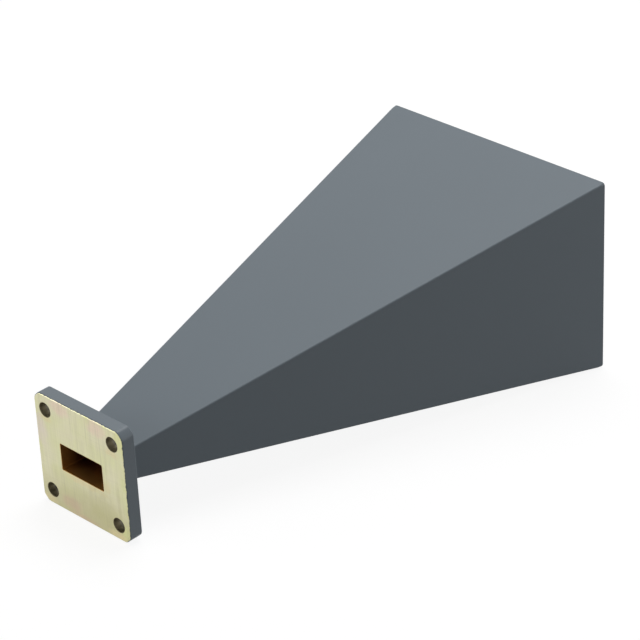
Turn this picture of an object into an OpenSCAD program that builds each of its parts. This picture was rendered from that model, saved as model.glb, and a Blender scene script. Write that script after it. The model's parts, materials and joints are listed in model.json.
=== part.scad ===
// Pyramidal waveguide horn: a square cover flange, a short rectangular throat tube
// and four flat brass plates brazed along their edges into a flare.
// The flange's mating face lies in y = 0 and the horn looks along +Y. The broad
// walls face up and down, the narrow walls face left (-X) and right (+X).

/* [Waveguide] */
// Width of the bore, its broad dimension
bore_w = 15.8; // [12:0.1:18]
// Height of the bore, its narrow dimension
bore_h = 7.9; // [6:0.1:10]
// Wall of the throat tube
tube_wall = 1.02; // [0.8:0.02:1.4]
// Radius along the throat tube's four outer edges
tube_edge_r = 0.8; // [0.3:0.1:1]
// Length of throat tube that stands free between flange and flare
neck_l = 6.5; // [3:0.1:20]

/* [Flange] */
// Side of the square flange
flange_side = 33.3; // [32:0.1:40]
// Thickness of the flange
flange_t = 4.2; // [3:0.1:8]
// Radius of the flange's corners
flange_corner_r = 2.2; // [0.8:0.1:3]
// Width of the chamfer round both faces of the flange
flange_chamfer = 0.3; // [0.1:0.05:0.6]
// Distance between bolt holes across the bore's width
hole_pitch_x = 25.25; // [23:0.01:27]
// Distance between bolt holes across the bore's height
hole_pitch_z = 24.28; // [20:0.01:27]
// Diameter of the bolt clearance holes
hole_d = 4.1; // [3:0.1:5]
// Depth of the socket in the flange's back that takes the throat tube
socket_depth = 2.4; // [1:0.1:2.8]
// Gap left for the braze on each side of the tube in its socket
braze_gap = 0.05; // [0.02:0.01:0.15]

/* [Flare] */
// Length of the flare along the horn's axis, from the tube's end to the mouth
flare_l = 150.5; // [60:0.1:260]
// Outside width of the mouth
mouth_w = 78.6; // [40:0.1:120]
// Outside height of the mouth
mouth_h = 59.2; // [30:0.1:100]
// Thickness of the four wall plates
plate_t = 1; // [0.6:0.1:1.6]
// Radius to which the mouth's four corners are dressed
mouth_corner_r = 1; // [0.3:0.1:4]
// Width of the flat dressed along the flare's long outer edges
long_edge_flat = 0.4; // [0.1:0.05:0.8]

/* [Hidden] */
$fn = 48;
// How far a cutting shape runs past the face that it cuts
past = 1;

tube_w = bore_w + 2 * tube_wall;
tube_h = bore_h + 2 * tube_wall;
shoulder_y = flange_t - socket_depth;
flare_y = flange_t + neck_l;
mouth_y = flare_y + flare_l;

// A plate's inner face starts at the bore's edge and its outer face ends at the
// mouth's edge, so the plate leans a little less than the line between the two.
function lean(bore, mouth) =
    let (rise = (mouth - bore) / 2)
    atan2(rise, flare_l) - asin(plate_t / norm([rise, flare_l]));
side_lean = lean(bore_w, mouth_w);
top_lean = lean(bore_h, mouth_h);

// Thickness of a leaning plate, measured square to the horn's axis
side_across = plate_t / cos(side_lean);
top_across = plate_t / cos(top_lean);

brass = [0.80, 0.77, 0.60];
enamel = [0.44, 0.48, 0.50];

// Rectangle with rounded corners, centred, as exact squares and circles
module rounded_rectangle(w, h, r) {
    square([w, h - 2 * r], center = true);
    square([w - 2 * r, h], center = true);
    for (x = [-1, 1], y = [-1, 1])
        translate([x * (w / 2 - r), y * (h / 2 - r)]) circle(r);
}

// Stands a drawing of width and height upright and carries it along +Y
module along_axis(from, to) {
    translate([0, to, 0]) rotate([90, 0, 0]) linear_extrude(to - from) children();
}

// Half of a plate's section, from its middle out to its chamfered edge
function chamfered_half(reach, thickness, chamfer) = [
    [0, 0], [reach - chamfer, 0],
    [reach, chamfer], [reach, thickness - chamfer],
    [reach - chamfer, thickness], [0, thickness]
];

// Square plate standing on edge, rounded at its corners and chamfered round both
// faces: a cross of slabs, with a turned post in each corner
module chamfered_plate(side, thickness, r, chamfer) {
    for (turn = [0, 90, 180, 270])
        rotate([0, turn, 0])
            linear_extrude(side - 2 * r, center = true)
                polygon(chamfered_half(side / 2, thickness, chamfer));
    for (x = [-1, 1], z = [-1, 1])
        translate([x * (side / 2 - r), 0, z * (side / 2 - r)])
            rotate([-90, 0, 0]) rotate_extrude() polygon(chamfered_half(r, thickness, chamfer));
}

// Carries a drawing of width and axis up and down through the whole horn
module plan_view() {
    linear_extrude(mouth_h + 2 * past, center = true) children();
}

// Carries a drawing of height and axis from side to side through the whole horn
module side_view() {
    rotate([0, -90, 0]) linear_extrude(mouth_w + 2 * past, center = true) children();
}

// The flare seen square on: its two walls' outer faces, or their inner faces
// where the plates' own width across the axis is taken off
module flare_outline(bore, mouth, across, inner = false) {
    start = bore / 2 + (inner ? 0 : across);
    end = mouth / 2 - (inner ? across : 0);
    polygon([[-start, flare_y], [start, flare_y], [end, mouth_y], [-end, mouth_y]]);
}

// One plate of that flare, seen on its edge, with both ends square to the axis
module plate_edge(bore, mouth, across) {
    polygon([
        [bore / 2, flare_y], [bore / 2 + across, flare_y],
        [mouth / 2, mouth_y], [mouth / 2 - across, mouth_y]
    ]);
}

// The mouth's outline with its dressed corners, which takes off the plates' tips
module mouth_dressing() {
    along_axis(flare_y, mouth_y) rounded_rectangle(mouth_w, mouth_h, mouth_corner_r);
}

// Waste dressed off the long edge between the upper and the right wall: a block whose
// face lies square to the line halfway between the two plates' normals
module long_edge_waste() {
    top_normal = [0, -sin(top_lean), cos(top_lean)];
    side_normal = [cos(side_lean), -sin(side_lean), 0];
    along = cross(top_normal, side_normal) / norm(cross(top_normal, side_normal));
    outward = (top_normal + side_normal) / norm(top_normal + side_normal);
    aside = cross(along, outward);
    // half the angle between the two faces, which sets how deep a flat of that width lies
    half_corner = (180 - acos(top_normal * side_normal)) / 2;
    depth = long_edge_flat / 2 / tan(half_corner);
    edge_l = flare_l / along[1];
    start = [bore_w / 2 + side_across, flare_y, bore_h / 2 + top_across]
        - depth * outward - past * along;
    multmatrix([
        [outward[0], aside[0], along[0], start[0]],
        [outward[1], aside[1], along[1], start[1]],
        [outward[2], aside[2], along[2], start[2]]
    ])
        translate([0, -past, 0]) cube([past, 2 * past, edge_l + 2 * past]);
}

module flange() {
    color(brass)
        difference() {
            chamfered_plate(flange_side, flange_t, flange_corner_r, flange_chamfer);
            along_axis(-past, flange_t) square([bore_w, bore_h], center = true);
            along_axis(shoulder_y, flange_t + past)
                rounded_rectangle(
                    tube_w + 2 * braze_gap, tube_h + 2 * braze_gap, tube_edge_r + braze_gap
                );
            for (x = [-1, 1], z = [-1, 1])
                translate([x * hole_pitch_x / 2, -past, z * hole_pitch_z / 2])
                    rotate([-90, 0, 0]) cylinder(d = hole_d, h = flange_t + 2 * past);
        }
}

// Waveguide tube, from the shoulder in the flange's socket to the flare
module throat_tube() {
    color(enamel)
        difference() {
            along_axis(shoulder_y, flare_y) rounded_rectangle(tube_w, tube_h, tube_edge_r);
            along_axis(shoulder_y - past, flare_y + past)
                square([bore_w, bore_h], center = true);
        }
}

// The broad walls run to the horn's full width, over the narrow walls' edges
module upper_wall() {
    color(enamel)
        difference() {
            intersection() {
                side_view() plate_edge(bore_h, mouth_h, top_across);
                plan_view() flare_outline(bore_w, mouth_w, side_across);
                mouth_dressing();
            }
            long_edge_waste();
            mirror([1, 0, 0]) long_edge_waste();
        }
}

module lower_wall() {
    mirror([0, 0, 1]) upper_wall();
}

// The narrow walls stand between the broad walls' inner faces
module right_wall() {
    color(enamel)
        intersection() {
            plan_view() plate_edge(bore_w, mouth_w, side_across);
            side_view() flare_outline(bore_h, mouth_h, top_across, inner = true);
            mouth_dressing();
        }
}

module left_wall() {
    mirror([1, 0, 0]) right_wall();
}

flange();
throat_tube();
upper_wall();
lower_wall();
left_wall();
right_wall();
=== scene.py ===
import json
import math

import bmesh
import bpy
import numpy as np
from mathutils import Matrix, Vector
from mathutils.geometry import delaunay_2d_cdt


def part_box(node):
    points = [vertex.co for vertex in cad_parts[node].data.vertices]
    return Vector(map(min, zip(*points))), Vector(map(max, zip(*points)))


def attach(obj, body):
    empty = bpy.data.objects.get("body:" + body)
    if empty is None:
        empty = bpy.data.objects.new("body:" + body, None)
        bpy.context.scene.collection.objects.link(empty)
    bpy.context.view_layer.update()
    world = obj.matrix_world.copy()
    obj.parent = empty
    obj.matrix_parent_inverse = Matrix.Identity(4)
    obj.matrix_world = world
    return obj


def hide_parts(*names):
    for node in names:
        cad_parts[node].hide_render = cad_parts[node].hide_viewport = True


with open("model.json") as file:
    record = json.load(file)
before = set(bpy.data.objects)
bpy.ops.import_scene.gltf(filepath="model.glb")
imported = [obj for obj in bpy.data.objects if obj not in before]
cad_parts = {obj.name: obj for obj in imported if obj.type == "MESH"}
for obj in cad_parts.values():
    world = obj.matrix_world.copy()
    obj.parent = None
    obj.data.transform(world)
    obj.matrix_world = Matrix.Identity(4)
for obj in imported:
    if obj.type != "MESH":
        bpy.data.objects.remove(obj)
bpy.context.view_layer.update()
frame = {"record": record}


# ---------------------------------------------------------------- enamel
# The horn's outside is sprayed with one satin grey enamel, over the dressed plates, the
# neck and the back and sides of the flange. It is even, with a fine orange peel.

ENAMEL = (0.168, 0.202, 0.230, 1)
ENAMEL_PALE = (0.182, 0.218, 0.248, 1)
ENAMEL_ROUGHNESS = 0.40
DRIFT, PEEL, GRAIN = 28, 900, 5200  # features a metre
PEEL_RELIEF = 0.000010


class Signal:
    """A number or colour that changes over a surface; arithmetic on it adds Math nodes."""

    def __init__(self, nodes, socket):
        self.nodes, self.socket = nodes, socket

    def math(self, operation, *values):
        """One Math node on these values."""
        return self.nodes.node("Math", {"operation": operation}, dict(enumerate(values)))

    def __add__(self, other):
        return self.math("ADD", self, other)

    def __sub__(self, other):
        return self.math("SUBTRACT", self, other)

    def __rsub__(self, other):
        return self.math("SUBTRACT", other, self)

    def __mul__(self, other):
        return self.math("MULTIPLY", self, other)

    def __truediv__(self, other):
        return self.math("DIVIDE", self, other)

    def __pow__(self, other):
        return self.math("POWER", self, other)

    def __abs__(self):
        return self.math("ABSOLUTE", self)

    __radd__ = __add__
    __rmul__ = __mul__

    def greater(self, other):
        return self.math("MAXIMUM", self, other)

    def step(self, low, high):
        """0 up to low, 1 from high on, and a smooth ramp between."""
        return self.nodes.node(
            "MapRange", {"interpolation_type": "SMOOTHSTEP"},
            {"Value": self, "From Min": low, "From Max": high},
        )


class Nodes:
    """The nodes of one material or of the world."""

    def __init__(self, tree):
        self.tree = tree

    def feed(self, socket, value):
        """Links a signal to a socket, or writes a plain value there."""
        if isinstance(value, Signal):
            self.tree.links.new(value.socket, socket)
        else:
            socket.default_value = value

    def node(self, kind, settings=None, sockets=None, output=0):
        """Adds a node with its settings and its sockets' values or links; gives an output."""
        made = self.tree.nodes.new("ShaderNode" + kind)
        for key, value in (settings or {}).items():
            setattr(made, key, value)
        for key, value in (sockets or {}).items():
            self.feed(made.inputs[key], value)
        return Signal(self, made.outputs[output])

    def blend(self, factor, first, second):
        """A colour between two, by a Mix node."""
        return self.node(
            "Mix", {"data_type": "RGBA"}, {0: factor, 6: first, 7: second}, output=2
        )


class Finish(Nodes):
    """A material around one Principled shader."""

    def __init__(self, name, **sockets):
        self.material = bpy.data.materials.new(name)
        self.material.use_nodes = True
        super().__init__(self.material.node_tree)
        self.shader = self.tree.nodes["Principled BSDF"]
        self.place = self.node("TexCoord", output="Object")
        self.set(**sockets)

    def set(self, **sockets):
        """Sets the shader's sockets; a name's underscores stand for spaces."""
        for key, value in sockets.items():
            self.feed(self.shader.inputs[key.replace("_", " ")], value)

    def noise(self, scale, detail=2.0, stretch=(1, 1, 1), shift=(0, 0, 0), turn=(0, 0, 0)):
        """Noise from 0 to 1 about 0.5; scale is in features a metre, times the stretch."""
        place = self.node(
            "Mapping", {"vector_type": "POINT"},
            {"Vector": self.place, "Location": shift, "Rotation": turn, "Scale": stretch},
        )
        return self.node(
            "TexNoise", None, {"Vector": place, "Scale": scale, "Detail": detail}
        )

    def axis(self, name):
        """One Object coordinate, in metres."""
        return self.node("SeparateXYZ", None, {"Vector": self.place}, output=name)

    def bump(self, height, depth, under=None):
        """A Bump node whose relief is depth metres tall, over another one if given."""
        sockets = {"Height": height, "Distance": depth, "Strength": 1.0}
        if under:
            sockets["Normal"] = under
        return self.node("Bump", None, sockets)


def enamel_look(finish):
    """Colour, roughness and relief of the sprayed enamel: a slow drift of tone, and
    orange peel of about a millimetre with a quarter as much of a finer grain."""
    drift = finish.noise(DRIFT, detail=3)
    peel = finish.noise(PEEL, detail=1, shift=(3, 1, 7))
    grain = finish.noise(GRAIN, detail=1, shift=(9, 4, 2))
    colour = finish.blend(drift, ENAMEL, ENAMEL_PALE)
    roughness = ENAMEL_ROUGHNESS + 0.07 * drift + 0.04 * grain
    relief = finish.bump(peel + 0.25 * grain, PEEL_RELIEF)
    return colour, roughness, relief


enamel = Finish("grey_enamel", Specular_IOR_Level=0.30)
colour, roughness, relief = enamel_look(enamel)
enamel.set(Base_Color=colour, Roughness=roughness, Normal=relief)


# ---------------------------------------------------------------- flange
# A square brass cover flange milled from plate, with the waveguide's port, four bolt
# holes and a socket in its back for the neck. The mating face is lapped bare and keeps
# a clear yellow chromate; the sides and the back are painted with the horn.

record = frame["record"]
bolts = next(m for m in record["mounts"] if m["name"] == "flange_bolts")["dims"]
flange_low, flange_high = (np.array(corner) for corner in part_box("flange"))
neck_low, neck_high = (np.array(corner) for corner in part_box("throat_tube"))
BORE_W = 2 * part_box("right_wall")[0][0]
BORE_H = 2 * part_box("upper_wall")[0][2]
FLANGE_SIDE = flange_high[0] - flange_low[0]
FLANGE_T = flange_high[1] - flange_low[1]
FLANGE_CORNER_R = 0.0017
FLANGE_CORNER_CUT = 0.00080
FLANGE_CHAMFER = 0.00025
FLANGE_EDGE_R = 0.00008
HOLE_EDGE_R = 0.00010
PORT_EDGE_R = 0.00006
PORT_CORNER_R = 0.00035
SOCKET_GAP = 0.00005
NECK_CORNER_R = 0.0008
HELD = 0.00004  # width of the strip that keeps a flat flat beside a rounded edge
ARC = 7  # faces round a quarter turn
HOLE_FACES = 64  # faces round a bolt hole
SEAM = 2e-7  # points nearer than this are one


def heading(angle):
    """Unit vectors at those angles: their cosine across and their sine up."""
    return np.stack([np.cos(angle), np.sin(angle)], -1)


def rounded_loop(width, height, radius, cut=0):
    """A rounded rectangle: each corner's centre plus the radius, turned a quarter. A cut
    corner has a flat of that width, seen from either side, in the middle of its turn.
    Gives the points and the outward normals, as width and height."""
    quarter = np.linspace(0, np.pi / 2, ARC + 1)
    first = np.repeat(np.pi / 2 * np.arange(4), ARC + 1)
    normal = heading(first + np.tile(quarter, 4))
    corners = np.repeat([[1, 1], [-1, 1], [-1, -1], [1, -1]], ARC + 1, axis=0)
    centre = corners * [width / 2 - radius, height / 2 - radius]
    # half a turn stays on each side of the corner, and moves away from it by the cut
    early = np.tile(quarter < np.pi / 4, 4)
    centre = centre - cut * heading(first + np.pi / 2 * early)
    return centre + radius * normal, normal


def circle_loop(centre, radius):
    """A circle: its centre plus the radius, turned once round."""
    normal = heading(np.linspace(0, 2 * np.pi, HOLE_FACES, endpoint=False))
    return centre + radius * normal, normal


def along_axis(loop, normal, profile):
    """Carries a profile of (offset, y) round a loop: each point moves out along its
    normal by the offset. Gives rows of points, one row for each step of the profile."""
    profile = np.asarray(profile)
    flat = loop + profile[:, :1, None] * normal
    y = np.broadcast_to(profile[:, 1:, None], flat[..., :1].shape)
    return np.concatenate([flat[..., :1], y, flat[..., 1:]], -1)


def quarter_turn(radius, chamfer=0):
    """How far a rounded edge still has to go along its first face, and how far it has gone
    along the next. A chamfer of that width sits in the middle of the turn."""
    angle = np.linspace(0, np.pi / 2, ARC + 1)
    early = angle < np.pi / 4
    return (
        radius * (1 - np.sin(angle)) + chamfer * early,
        radius * (1 - np.cos(angle)) + chamfer * ~early,
    )


def front_edge(radius, y, out, chamfer=0):
    """Profile from a face at y round its edge into the wall; out is 1 where the solid
    lies inside the loop and -1 where it lies outside, as at a hole."""
    offset, depth = quarter_turn(radius, chamfer)
    rows = np.stack([-out * offset, y + depth], -1)
    reach = radius + chamfer + HELD
    return np.vstack([[-out * reach, y], rows, [0, y + reach]])


def back_edge(radius, y, out, chamfer=0):
    """The same, from the wall to a face at y that looks the other way."""
    rows = front_edge(radius, 0, out, chamfer)[::-1]
    return rows * [1, -1] + [0, y]


class Shell:
    """A closed skin gathered from grids and flats, then written as one mesh piece."""

    def __init__(self):
        self.points, self.faces, self.finishes, self.count = [], [], [], 0

    def keep(self, points, faces, finish):
        """Adds points, and faces that count from the first of them, all in one finish."""
        self.points.append(np.reshape(points, (-1, 3)))
        self.faces += (np.asarray(faces) + self.count).tolist()
        self.finishes += [finish] * len(faces)
        self.count += self.points[-1].shape[0]

    def grid(self, points, finish=0, strip=None, closed=False):
        """Four-sided faces between rows; the rows close on themselves, and with closed
        the last row joins the first. strip gives some columns a finish of their own."""
        rows, columns = points.shape[:2]
        index = np.arange(rows * columns).reshape(rows, columns)
        if closed:
            index = np.vstack([index, index[:1]])
        index = np.hstack([index, index[:, :1]])
        faces = np.stack([index[:-1, :-1], index[1:, :-1], index[1:, 1:], index[:-1, 1:]], -1)
        first = len(self.finishes)
        self.keep(points, faces.reshape(-1, 4), finish)
        if strip:
            columns_of, other = strip
            marks = np.full(faces.shape[:2], finish)
            marks[:, columns_of] = other
            self.finishes[first:] = marks.ravel().tolist()

    def cap(self, row):
        """One flat face over a row."""
        self.keep(row, [list(range(len(row)))], 0)

    def flat(self, outline, holes):
        """Flat triangles at one y over an outline, apart from its convex holes. A triangle
        lies in a hole where its middle is on the inner side of all the hole's edges."""
        loops = [outline, *holes]
        starts = np.cumsum([0] + [len(loop) for loop in loops])
        edges = [
            (start + i, start + (i + 1) % len(loop))
            for start, loop in zip(starts, loops) for i in range(len(loop))
        ]
        flat = [Vector(p) for loop in loops for p in loop[:, [0, 2]]]
        corners, _, faces, *_ = delaunay_2d_cdt(flat, edges, [], 1, 1e-9)
        corners = np.array([tuple(c) for c in corners])
        faces = np.array(faces)
        middle = corners[faces].mean(1)
        for hole in holes:
            start, end = hole[:, [0, 2]], np.roll(hole[:, [0, 2]], -1, axis=0)
            side, reach = end - start, middle[:, None] - start
            cross = side[:, 0] * reach[..., 1] - side[:, 1] * reach[..., 0]
            outside = (cross < 0).any(1)
            faces, middle = faces[outside], middle[outside]
        points = np.insert(corners, 1, outline[0, 1], axis=1)
        self.keep(points, faces, 0)

    def piece(self, name, finishes, replaces=(), sharp=40):
        """Merges the seams, turns the faces outwards, and rides the piece on the horn."""
        mesh = bpy.data.meshes.new(name)
        mesh.from_pydata(np.concatenate(self.points).tolist(), [], self.faces)
        mesh.polygons.foreach_set("material_index", self.finishes)
        work = bmesh.new()
        work.from_mesh(mesh)
        bmesh.ops.remove_doubles(work, verts=work.verts, dist=SEAM)
        bmesh.ops.dissolve_degenerate(work, edges=work.edges, dist=1e-8)
        bmesh.ops.recalc_face_normals(work, faces=work.faces)
        loose = [edge for edge in work.edges if len(edge.link_faces) != 2]
        if loose:
            raise ValueError(f"{name} has {len(loose)} open edges near {loose[0].verts[0].co}")
        work.to_mesh(mesh)
        work.free()
        for finish in finishes:
            mesh.materials.append(finish.material)
        mesh.shade_smooth()
        mesh.set_sharp_from_angle(angle=math.radians(sharp))
        made = bpy.data.objects.new(name, mesh)
        bpy.context.scene.collection.objects.link(made)
        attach(made, "root")
        if replaces:
            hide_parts(*replaces)
        return made


# The chromate is straw and greenish in clouds and green along the edges. Towards the lower
# edge and at the lower right it turns olive and darker: painted shade, for the shadowed floor
# that the face reflects. Rose, russet and amber mark where it ran thick: along the upper
# edge, at the lower left, under the port and beside the holes.
STRAW = (0.755, 0.725, 0.500, 1)
GREENISH = (0.730, 0.725, 0.435, 1)
EDGE_GREEN = (0.700, 0.710, 0.330, 1)
ROSE = (0.800, 0.635, 0.510, 1)
RUSSET = (0.620, 0.470, 0.330, 1)
LILAC = (0.745, 0.660, 0.560, 1)
AMBER = (0.760, 0.640, 0.360, 1)
OLIVE_SHADE = (0.500, 0.464, 0.245, 1)
LAPPED_DARK = (0.430, 0.405, 0.275, 1)
STAINS = [
    # across, up, half-width, half-height, strength, colour
    (-0.0069, 0.0146, 0.0034, 0.0021, 0.8, ROSE),
    (0.0068, 0.0144, 0.0035, 0.0024, 0.8, ROSE),
    (-0.0053, -0.0133, 0.0036, 0.0022, 0.7, RUSSET),
    (-0.0005, -0.0161, 0.0056, 0.0010, 0.7, RUSSET),
    (-0.0150, 0.0060, 0.0022, 0.0050, 0.8, LILAC),
    (-0.0095, 0.0020, 0.0022, 0.0070, 0.5, GREENISH),
    (0.0005, -0.0048, 0.0080, 0.0010, 0.6, AMBER),
    (-0.0126, 0.0096, 0.0022, 0.0010, 0.6, AMBER),
    (0.0124, 0.0094, 0.0024, 0.0012, 0.6, AMBER),
    (0.0092, -0.0020, 0.0014, 0.0020, 0.5, AMBER),
    (0.0150, 0.0120, 0.0016, 0.0050, 0.7, GREENISH),
    # these two olive marks darken the lower right: painted shade, like the olive at the bottom
    (0.0060, -0.0110, 0.0070, 0.0070, 0.35, OLIVE_SHADE),
    (0.0135, -0.0065, 0.0007, 0.0070, 0.3, OLIVE_SHADE),
    (0.0085, 0.0062, 0.0032, 0.0012, 0.5, GREENISH),
    (0.0154, 0.0138, 0.0018, 0.0032, 0.7, EDGE_GREEN),
    (0.0150, -0.0138, 0.0018, 0.0026, 0.7, EDGE_GREEN),
    (0.0120, -0.0154, 0.0036, 0.0011, 0.7, AMBER),
    (-0.0146, -0.0152, 0.0030, 0.0011, 0.5, AMBER),
]
EDGE_BAND = (0.0140, 0.0166)  # the green comes in between these distances from the axis
LOW_SHADE_BAND = (-0.0165, -0.0010)  # and the olive between these heights
STAIN_BAND = (-0.2, 1.8)  # a stain fades out over this share of its reach, squared
STAIN_STRAYS = 2.4
PAINT_STOPS_Y = 0.00012
PAINT_STRAYS = 0.00046
PAINT_FADE = 0.00003

flange_finish = Finish("chromated_brass", Specular_IOR_Level=0.4)
paint_colour, paint_roughness, paint_relief = enamel_look(flange_finish)
across, depth, height = [flange_finish.axis(name) for name in "XYZ"]
clouds = flange_finish.noise(110, detail=3, shift=(0.3, 0.1, 0.7))
fringe = flange_finish.noise(420, detail=3, shift=(4, 2, 6))
lapping = flange_finish.noise(1, detail=3, stretch=(2400, 200, 95))
streaks = flange_finish.noise(1, detail=2, stretch=(800, 200, 60), shift=(2, 0, 5))
scratches = flange_finish.noise(
    1, detail=2, stretch=(70, 200, 3600), shift=(6, 0, 1), turn=(0, math.radians(-24), 0)
)
chromate = flange_finish.blend(clouds.step(0.38, 0.62), GREENISH, STRAW)
to_edge = abs(across).greater(abs(height)).step(*EDGE_BAND)
chromate = flange_finish.blend(to_edge * fringe.step(0.40, 0.65) * 0.6, chromate, EDGE_GREEN)
# painted shade: the face turns olive and darker towards its lower edge, for the shadowed floor
# it reflects
low_shade = 1 - (height + 0.010 * (clouds - 0.5)).step(*LOW_SHADE_BAND)
chromate = flange_finish.blend(low_shade * 0.72, chromate, OLIVE_SHADE)
for x, z, wide, tall, strength, colour in STAINS:
    reach = ((across - x) / wide) ** 2 + ((height - z) / tall) ** 2
    inside = 1 - (reach + STAIN_STRAYS * (fringe - 0.5)).step(*STAIN_BAND)
    chromate = flange_finish.blend(inside * strength, chromate, colour)
lines = 0.16 * lapping.step(0.35, 0.75) + 0.14 * streaks.step(0.45, 0.70)
chromate = flange_finish.blend(lines + 0.10 * scratches.step(0.5, 0.7), chromate, LAPPED_DARK)

# Lapping bared the face and its chamfer, so the paint starts there in a ragged line.
ragged = flange_finish.noise(1300, detail=3, shift=(2, 8, 4))
paint_edge = depth + PAINT_STRAYS * (ragged - 0.5)
painted = paint_edge.step(PAINT_STOPS_Y, PAINT_STOPS_Y + PAINT_FADE)
flange_finish.set(
    Base_Color=flange_finish.blend(painted, chromate, paint_colour),
    Metallic=0.85 * (1 - painted),
    Roughness=(0.34 + 0.10 * lapping) * (1 - painted) + paint_roughness * painted,
    Normal=flange_finish.bump(lapping * (1 - painted), 0.000004, under=paint_relief),
)

# The bore is bare waveguide brass, drawn along the horn. Past the flange's face it darkens to
# deep brown further in: painted shade in the bore.
BORE_BRASS = (0.58, 0.32, 0.090, 1)
BORE_DULL = (0.44, 0.23, 0.058, 1)
BORE_SHADE_BROWN = (0.118, 0.033, 0.015, 1)
BORE_SHADE_BAND = (0.0005, 0.0070)

bore_finish = Finish("bore_brass", Specular_IOR_Level=0.4)
drawn = bore_finish.noise(1, detail=3, stretch=(2200, 60, 2200))
tarnish = bore_finish.noise(120, detail=4, shift=(1, 5, 3))
# painted shade: the brass goes dark brown deeper into the bore
bore_shade = (bore_finish.axis("Y") + 0.003 * (tarnish - 0.5)).step(*BORE_SHADE_BAND)
bare = bore_finish.blend(tarnish, BORE_BRASS, BORE_DULL)
bore_finish.set(
    Base_Color=bore_finish.blend(bore_shade, bare, BORE_SHADE_BROWN),
    Metallic=0.90,
    Roughness=0.36 + 0.14 * drawn,
    Normal=bore_finish.bump(drawn, 0.000003),
)

# The bolt holes are drilled after plating, and dull, with paint mist from the back. Their
# drilled brass colour is darkened with painted shade.
DRILLED_AND_SHADED = (0.23, 0.195, 0.115, 1)
MIST_BAND = (0.0012, 0.0040)

hole_finish = Finish("hole_wall", Specular_IOR_Level=0.4)
turned = hole_finish.noise(1, detail=2, stretch=(300, 5200, 300))
mist = hole_finish.axis("Y").step(*MIST_BAND)
hole_finish.set(
    Base_Color=hole_finish.blend(mist * 0.8, DRILLED_AND_SHADED, ENAMEL),
    Metallic=0.6 * (1 - mist),
    Roughness=0.45 + 0.1 * turned,
    Normal=hole_finish.bump(turned, 0.000006),
)

rim_loop, rim_normal = rounded_loop(
    FLANGE_SIDE, FLANGE_SIDE, FLANGE_CORNER_R, FLANGE_CORNER_CUT
)
rim = along_axis(rim_loop, rim_normal, np.vstack([
    front_edge(FLANGE_EDGE_R, 0, 1, FLANGE_CHAMFER),
    back_edge(FLANGE_EDGE_R, FLANGE_T, 1, FLANGE_CHAMFER),
]))
# half of each spacing, from millimetres to metres
hole_centres = [
    (x * bolts["spacing_x_mm"] / 2000, z * bolts["spacing_y_mm"] / 2000)
    for x in (-1, 1) for z in (-1, 1)
]
holes = []
for centre in hole_centres:
    loop, normal = circle_loop(centre, bolts["hole_r_mm"] / 1000)
    holes.append(along_axis(loop, normal, np.vstack([
        front_edge(HOLE_EDGE_R, 0, -1), back_edge(HOLE_EDGE_R, FLANGE_T, -1),
    ])))
port_loop, port_normal = rounded_loop(BORE_W, BORE_H, PORT_CORNER_R)
socket_loop, socket_normal = rounded_loop(
    neck_high[0] * 2 + 2 * SOCKET_GAP, neck_high[2] * 2 + 2 * SOCKET_GAP,
    NECK_CORNER_R + SOCKET_GAP,
)
port = np.vstack([
    along_axis(port_loop, port_normal, np.vstack([
        front_edge(PORT_EDGE_R, 0, -1), [[0, neck_low[1]]],
    ])),
    along_axis(socket_loop, socket_normal, [[0, neck_low[1]], [0, FLANGE_T]]),
])
flange = Shell()
flange.grid(rim)
flange.grid(port, finish=1)
for hole in holes:
    flange.grid(hole, finish=2)
flange.flat(rim[0], [port[0]] + [hole[0] for hole in holes])
flange.flat(rim[-1], [port[-1]] + [hole[-1] for hole in holes])
flange.piece(
    "cover_flange", [flange_finish, bore_finish, hole_finish], ["flange"]
)


# ---------------------------------------------------------------- neck
# A short length of rectangular brass tube, seated in the flange's socket and brazed
# there. Its outer corners are dressed down towards the flare, which butts on its end.

LONG_EDGE_R = 0.00045
NECK_FULL_L = 0.002  # the corners keep their radius for this far past the flange

neck = Shell()
outer = [
    along_axis(*rounded_loop(neck_high[0] * 2, neck_high[2] * 2, radius), [[0, y]])
    for radius, y in [
        (NECK_CORNER_R, neck_low[1]),
        (NECK_CORNER_R, FLANGE_T + NECK_FULL_L),
        (LONG_EDGE_R, neck_high[1]),
    ]
]
inner = along_axis(port_loop, port_normal, [[0, neck_high[1]], [0, neck_low[1]]])
neck.grid(np.vstack(outer))
neck.grid(np.vstack([outer[-1], inner[:1]]))
neck.grid(inner, finish=1)
neck.grid(np.vstack([inner[1:], outer[0]]), finish=1)
neck.piece("throat_neck", [enamel, bore_finish], ["throat_tube"])

# The braze round the neck at the flange's back: a concave run whose width wavers.
BRAZE_LEG = 0.00105
WAVERS = [(0.10, 5, 1), (0.07, 13, 0), (0.04, 29, 2)]  # share of the leg, turns, phase
BRAZE_STEP = 0.0005
# in legs: how far it stands out, and how far it runs into the neck and into the flange
PROUD, SUNK, UNDER = 1.0, -0.02, -0.03


def finely(loop, normal, step):
    """The same loop with points about a step apart: each stretch shared out evenly."""
    both = np.hstack([loop, normal])
    stretches = []
    for start, end in zip(both, np.roll(both, -1, axis=0)):
        count = max(1, round(math.dist(start[:2], end[:2]) / step))
        share = np.linspace(0, 1, count, endpoint=False)[:, None]
        stretches.append(start + share * (end - start))
    fine = np.vstack(stretches)
    return fine[:, :2], fine[:, 2:]


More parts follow.
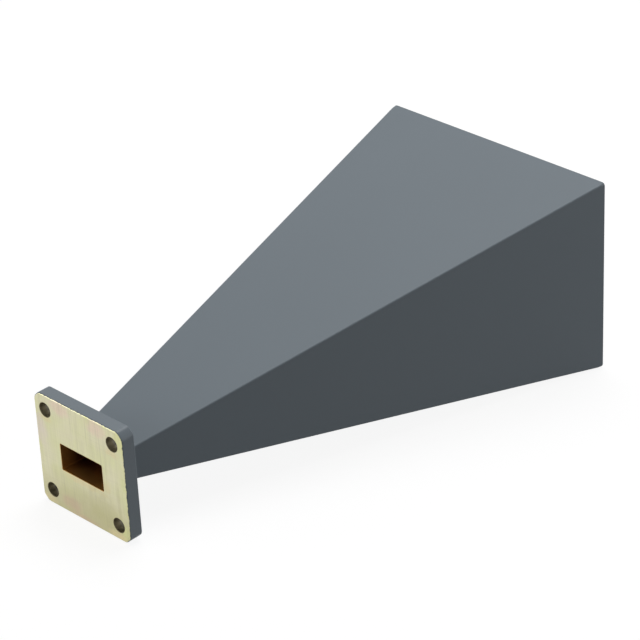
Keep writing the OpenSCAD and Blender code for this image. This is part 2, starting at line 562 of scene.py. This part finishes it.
loop, normal = rounded_loop(neck_high[0] * 2, neck_high[2] * 2, NECK_CORNER_R)
loop, normal = finely(loop, normal, BRAZE_STEP)
turn = np.linspace(0, 2 * np.pi, len(loop), endpoint=False)
leg = BRAZE_LEG * (1 + sum(size * np.sin(turns * turn + phase) for size, turns, phase in WAVERS))
bend = np.linspace(0, np.pi / 2, ARC + 1)
profile = [
    (SUNK, PROUD), *zip(1 - np.cos(bend), 1 - np.sin(bend)), (PROUD, UNDER), (SUNK, UNDER)
]
rows = []
for offset, rise in profile:
    flat = loop + (offset * leg)[:, None] * normal
    rows.append(np.stack([flat[:, 0], FLANGE_T + rise * leg, flat[:, 1]], -1))
braze = Shell()
braze.grid(np.array(rows), closed=True)
braze.piece("neck_braze", [enamel], sharp=60)


# ---------------------------------------------------------------- flare
# Four flat brass plates. The broad ones lie over the edges of the narrow ones, all four
# brazed along the corners, the corners dressed nearly sharp and the mouth's tips
# rounded off. Outside and rim are painted; the inside is bare brass.

PLATE_T = 0.001
RIM_R = 0.00030
TIP_R = 0.0010  # the long edges' radius grows to this at the mouth
TIP_L = 0.0020  # over this last stretch
TIP_DEPTH = 0.0009  # how far a narrow wall's outer face can be rounded back from its edge
mouth_half_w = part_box("right_wall")[1][0]
mouth_half_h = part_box("upper_wall")[1][2]
FLARE_Y, MOUTH_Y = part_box("right_wall")[0][1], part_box("right_wall")[1][1]


def lean(bore, mouth):
    """A plate's lean: the angle of the line from its inner face at the bore to its outer
    face at the mouth, less the part of it that the plate's own thickness takes up."""
    rise, run = mouth - bore, MOUTH_Y - FLARE_Y
    return math.atan2(rise, run) - math.asin(PLATE_T / math.hypot(rise, run))


side_lean, top_lean = lean(BORE_W / 2, mouth_half_w), lean(BORE_H / 2, mouth_half_h)
side_across, top_across = PLATE_T / math.cos(side_lean), PLATE_T / math.cos(top_lean)

# where the plates' sections stand along the axis: even over their length, close at the
# tips, and round the rim
rim_in, rim_on = quarter_turn(RIM_R)
stations = np.concatenate([
    [FLARE_Y, FLARE_Y + HELD],
    np.linspace(FLARE_Y + 0.002, MOUTH_Y - TIP_L - 0.001, 24),
    np.linspace(MOUTH_Y - TIP_L, MOUTH_Y - RIM_R - HELD, 12),
    MOUTH_Y - rim_in,
])[:, None]
inset = np.zeros_like(stations)
inset[-len(rim_on):, 0] = rim_on
run = stations - FLARE_Y
inner_x = BORE_W / 2 + math.tan(side_lean) * run
inner_z = BORE_H / 2 + math.tan(top_lean) * run
outer_x = inner_x + side_across - inset
outer_z = inner_z + top_across - inset
to_tip = np.clip((stations - (MOUTH_Y - TIP_L)) / TIP_L, 0, 1)
edge_r = LONG_EDGE_R + (TIP_R - LONG_EDGE_R) * to_tip ** 1.5


def outer_at(z):
    """The outline's half-width at a height: straight up to the corner, then its arc."""
    above = np.maximum(0, np.abs(z) - (outer_z - edge_r))
    return outer_x - edge_r + np.sqrt(np.maximum(0, edge_r ** 2 - above ** 2))


def section(x, z):
    """Rows of points from half-widths and heights, one row a station."""
    y = np.broadcast_to(stations, x.shape)
    return np.stack([x, y, z], -1)


# a broad wall: up its right edge, round the corner, over the top and down the left
straight_z = np.maximum(inner_z + HELD / 2, outer_z - edge_r - HELD)
start = np.arcsin(np.clip((straight_z + HELD / 2 - outer_z + edge_r) / edge_r, 0, 1))
angle = start + (np.pi / 2 - start) * np.linspace(0, 1, ARC + 2)
right_x = np.hstack([
    outer_at(inner_z), outer_at(straight_z),
    outer_x - edge_r + edge_r * np.cos(angle), outer_x - edge_r - HELD,
])
right_z = np.hstack([
    inner_z, straight_z, outer_z - edge_r + edge_r * np.sin(angle), outer_z,
])
broad_x = np.hstack([right_x, -right_x[:, ::-1], -inner_x, inner_x])
broad_z = np.hstack([right_z, right_z[:, ::-1], inner_z, inner_z])
broad = section(broad_x, broad_z)
inner_strip = broad.shape[1] - 2

# a narrow wall: its inner face, then down its outer face with the tips' roundings
fall = np.linspace(0, TIP_DEPTH, 8)
narrow_side_z = np.hstack([inner_z - fall, -(inner_z - fall)[:, ::-1]])
narrow_x = np.hstack([inner_x, inner_x, outer_at(narrow_side_z)])
narrow_z = np.hstack([-inner_z, inner_z, narrow_side_z])
narrow = section(narrow_x, narrow_z)

# Inside, the brass shows its rolling lines and a thin mist of paint at the mouth.
SHEET_BRASS = (0.72, 0.57, 0.29, 1)
SHEET_DULL = (0.62, 0.46, 0.20, 1)
MIST_FROM, MIST_FULL = 0.0016, 0.0002  # back from the mouth
MIST_STRAYS = 0.0016

inside_finish = Finish("flare_brass", Specular_IOR_Level=0.5)
rolled = inside_finish.noise(1, detail=4, stretch=(1500, 45, 1500))
stain = inside_finish.noise(45, detail=4, shift=(4, 4, 1))
mist_edge = inside_finish.noise(420, detail=3, shift=(7, 1, 1))
mist = (inside_finish.axis("Y") + MIST_STRAYS * (mist_edge - 0.5)).step(
    MOUTH_Y - MIST_FROM, MOUTH_Y - MIST_FULL
)
brass_colour = inside_finish.blend(stain, SHEET_BRASS, SHEET_DULL)
inside_finish.set(
    Base_Color=inside_finish.blend(mist, brass_colour, ENAMEL),
    Metallic=1 - mist,
    Roughness=0.30 + 0.16 * rolled + 0.08 * stain,
    Normal=inside_finish.bump(rolled, 0.000004),
)

for name, node, points, strip, mirror in [
    ("upper_plate", "upper_wall", broad, inner_strip, (1, 1, 1)),
    ("lower_plate", "lower_wall", broad, inner_strip, (1, 1, -1)),
    ("right_plate", "right_wall", narrow, 0, (1, 1, 1)),
    ("left_plate", "left_wall", narrow, 0, (-1, 1, 1)),
]:
    wall = Shell()
    placed = points * mirror
    wall.grid(placed, strip=([strip], 1))
    wall.cap(placed[0])
    wall.cap(placed[-1])
    wall.piece(name, [enamel, inside_finish], [node])

# Silver braze stands as a small cove along each of the flare's four inner corners, a
# little wider and narrower as it ran.
COVE = 0.00055
COVE_WAVERS = [(0.12, 420, 0), (0.08, 1130, 1)]  # share of it, radians a metre, phase
SILVER = (0.62, 0.55, 0.38, 1)
SILVER_DULL = (0.48, 0.40, 0.24, 1)

cove_finish = Finish("silver_braze", Metallic=1.0, Specular_IOR_Level=0.5)
lumps = cove_finish.noise(650, detail=3, stretch=(1, 0.35, 1))
cove_finish.set(
    Base_Color=cove_finish.blend(lumps, SILVER, SILVER_DULL),
    Roughness=0.32 + 0.2 * lumps,
    Normal=cove_finish.bump(lumps, 0.00004),
)
cove = COVE * (1 + sum(size * np.sin(pace * run + phase) for size, pace, phase in COVE_WAVERS))
bend = np.linspace(np.pi / 2, 0, ARC + 1)
cove_x = np.hstack([inner_x, inner_x - cove + cove * np.cos(bend)])
cove_z = np.hstack([inner_z, inner_z - cove + cove * np.sin(bend)])
coves = Shell()
for x in (-1, 1):
    for z in (-1, 1):
        rows = section(cove_x, cove_z)[:-len(rim_on)] * (x, 1, z)
        coves.grid(rows)
        coves.cap(rows[0])
        coves.cap(rows[-1])
coves.piece("corner_braze", [cove_finish], sharp=60)


# ---------------------------------------------------------------- stage
# The horn lies as it does on a bench, on the flange's lower edge and the mouth's, so the
# floor falls away from the flange to the mouth. Soft light comes from above and the left.

def seen_directly(finish):
    """1 for camera, glossy and transmission rays, so a mirror shows the same white."""
    ray = [finish.node("LightPath", output=f"Is {kind} Ray") for kind in
           ("Camera", "Glossy", "Transmission")]
    return ray[0].greater(ray[1]).greater(ray[2])


FLOOR_HALF = 4.0
FLOOR_DIFFUSE = 0.16
FLOOR_GLOW = 0.90
FLOOR_GAP = 0.00005

floor_fall = math.atan2(mouth_half_h - flange_high[2], MOUTH_Y)
along = np.array([0, math.cos(floor_fall), -math.sin(floor_fall)])
contact = np.array([0, 0, flange_low[2] - FLOOR_GAP])
floor_points = [
    tuple(contact + [x * FLOOR_HALF, 0, 0] + y * FLOOR_HALF * along)
    for x, y in [(-1, -1), (1, -1), (1, 1), (-1, 1)]
]
floor_mesh = bpy.data.meshes.new("floor")
floor_mesh.from_pydata(floor_points, [], [(0, 1, 2, 3)])
floor = bpy.data.objects.new("floor", floor_mesh)
bpy.context.scene.collection.objects.link(floor)
paper = Finish("white_paper", Roughness=0.9, Specular_IOR_Level=0.0)
paper.set(
    Base_Color=(FLOOR_DIFFUSE, FLOOR_DIFFUSE, FLOOR_DIFFUSE, 1),
    Emission_Color=(1, 1, 1, 1),
    Emission_Strength=seen_directly(paper) * FLOOR_GLOW,
)
floor_mesh.materials.append(paper.material)

AMBIENT = 0.155
world = bpy.data.worlds.new("studio")
bpy.context.scene.world = world
world.use_nodes = True
sky = Nodes(world.node_tree)
sky.feed(
    sky.tree.nodes["Background"].inputs["Color"],
    sky.blend(seen_directly(sky), (AMBIENT, AMBIENT, AMBIENT, 1), (1, 1, 1, 1)),
)


def softbox(name, place, aim, width, level):
    """A square area lamp aimed at a point; level is how brightly it lights that point."""
    lamp = bpy.data.lights.new(name, "AREA")
    lamp.shape = "SQUARE"
    lamp.size = width
    away = Vector(place) - Vector(aim)
    lamp.energy = level * math.pi ** 2 * away.length_squared
    made = bpy.data.objects.new(name, lamp)
    turn = away.to_track_quat("Z", "Y").to_matrix().to_4x4()
    made.matrix_world = Matrix.Translation(place) @ turn
    bpy.context.scene.collection.objects.link(made)


LIT_POINT = (0, 0.08, 0)
softbox("overhead", (-0.12, 0.36, 0.76), LIT_POINT, width=0.5, level=0.58)
softbox("front_left", (-0.9, -0.9, 0.35), LIT_POINT, width=0.7, level=0.20)
softbox("back_right", (0.50, 0.42, 0.10), LIT_POINT, width=0.3, level=0.145)

# The camera stands to the right of the flange and above it, a long lens away.
CAMERA_AZIMUTH, CAMERA_ELEVATION, CAMERA_ROLL = 45.414, 30.137, -2.786
CAMERA_AWAY = 0.74998
CAMERA_AIM = Vector((0.00087, 0.08642, 0.00498))
CAMERA_LENS_MM, CAMERA_FILM_MM = 155.32, 36

azimuth, elevation = math.radians(CAMERA_AZIMUTH), math.radians(CAMERA_ELEVATION)
back = Vector((
    math.sin(azimuth) * math.cos(elevation),
    -math.cos(azimuth) * math.cos(elevation),
    math.sin(elevation),
))
lens = bpy.data.cameras.new("camera")
lens.lens, lens.sensor_width = CAMERA_LENS_MM, CAMERA_FILM_MM
camera = bpy.data.objects.new("camera", lens)
camera.matrix_world = (
    Matrix.Translation(CAMERA_AIM + back * CAMERA_AWAY)
    @ (-back).to_track_quat("-Z", "Y").to_matrix().to_4x4()
    @ Matrix.Rotation(math.radians(CAMERA_ROLL), 4, "Z")
)
bpy.context.scene.collection.objects.link(camera)
bpy.context.scene.camera = camera
bpy.context.scene.view_settings.view_transform = "Standard"
